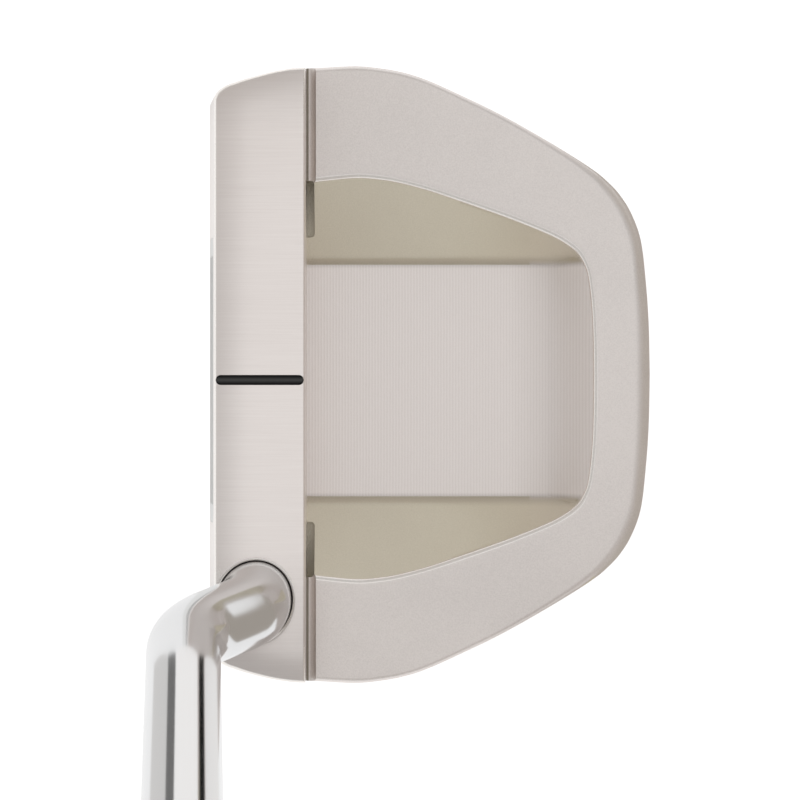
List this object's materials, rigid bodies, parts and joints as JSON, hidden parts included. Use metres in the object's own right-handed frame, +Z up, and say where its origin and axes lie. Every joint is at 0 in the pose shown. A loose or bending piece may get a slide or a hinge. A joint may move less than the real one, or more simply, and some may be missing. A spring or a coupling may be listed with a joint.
{
  "type": "mallet putter",
  "caption": "Right-handed mallet putter with a raised front bar, an open rear pocket with sloped sides, a double-bend shaft and a paddle grip.",
  "frame": {"origin": "on the flat of the sole, under the sight line at the middle of the head's depth", "axes": "+Z up along the face's height, +Y from the face to the back of the head, +X from toe to heel; the face looks along -Y and the shaft rises towards +X"},
  "size_m": [0.3798, 0.0732, 0.8163],
  "materials": {
    "head_steel": "satin blasted, warm nickel tone",
    "insert_alloy": "milled, satin",
    "insert_backing": "matte",
    "line_paint": "satin black enamel",
    "weight_steel": "turned, satin",
    "washer_nylon": "natural",
    "shaft_chrome": "polished",
    "adhesive": "cured epoxy",
    "plug_plastic": "moulded",
    "grip_rubber": "matte, fine texture",
    "grip_foam": "matte foam",
    "grip_tape": "paper tape",
    "band_film": "plain printed film"
  },
  "bodies": {
    "root": {"head_body": "head_steel", "face_insert": "insert_alloy", "insert_backing": "insert_backing", "sight_line_paint": "line_paint", "sole_weight_toe": "weight_steel", "sole_weight_heel": "weight_steel", "weight_washer_toe": "washer_nylon", "weight_washer_heel": "washer_nylon", "shaft": "shaft_chrome", "tip_plug": "plug_plastic", "shaft_adhesive": "adhesive", "grip_skin": "grip_rubber", "grip_core": "grip_foam", "grip_tape": "grip_tape", "grip_cap": "grip_rubber", "grip_collar": "grip_rubber", "shaft_band": "band_film"}
  },
  "joints": []
}
